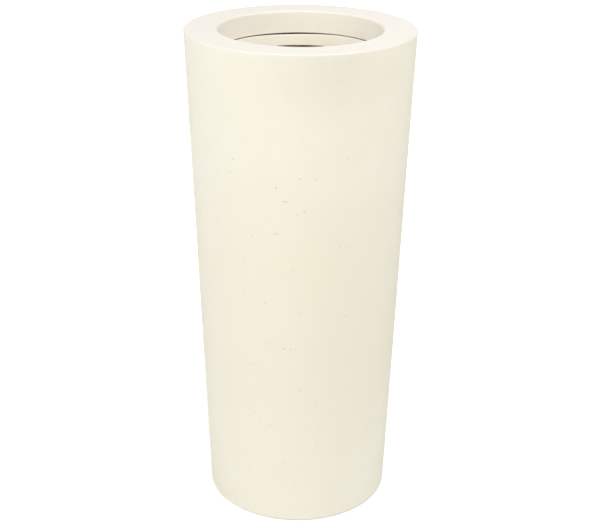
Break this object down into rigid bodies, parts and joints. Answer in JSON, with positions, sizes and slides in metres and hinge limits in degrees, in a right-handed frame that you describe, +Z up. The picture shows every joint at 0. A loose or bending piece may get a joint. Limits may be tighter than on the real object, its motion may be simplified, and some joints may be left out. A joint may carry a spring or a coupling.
{
  "type": "tall round tapered planter",
  "caption": "Tall round tapered floor planter in glass-fibre composite, with a flat rim and a lift-out liner on an inner shelf.",
  "frame": {"origin": "on the floor, at the centre of the base, on the planter's axis", "axes": "+Z up along the planter's axis; the liner's hand slots face -Y and +Y; the picture looks along +Y and down"},
  "size_m": [0.4058, 0.4058, 0.9],
  "materials": {
    "cream_finish": "matt cream mineral coat over glass-fibre laminate, faintly clouded, with small air-bubble pits",
    "liner_finish": "matt warm cream gel coat, smoother than the shell",
    "raw_laminate": "uncoated glass-fibre laminate, resin-rich, slightly glossy",
    "black_rubber": "matt black moulded rubber"
  },
  "bodies": {
    "planter": {"outer_shell": "cream_finish", "rim_collar": "cream_finish", "planting_shelf": "raw_laminate", "foot_pad_1": "black_rubber", "foot_pad_2": "black_rubber", "foot_pad_3": "black_rubber", "foot_pad_4": "black_rubber"},
    "liner": {"liner": "liner_finish"},
    "stopper": {"liner_stopper": "black_rubber"}
  },
  "joints": [
    {"name": "liner_lift", "type": "slide", "parent": "planter", "child": "liner", "axis": [0, 0, 1], "range_m": [0, 0.36]},
    {"name": "stopper_pull", "type": "slide", "parent": "liner", "child": "stopper", "axis": [0, 0, 1], "range_m": [0, 0.36]}
  ]
}
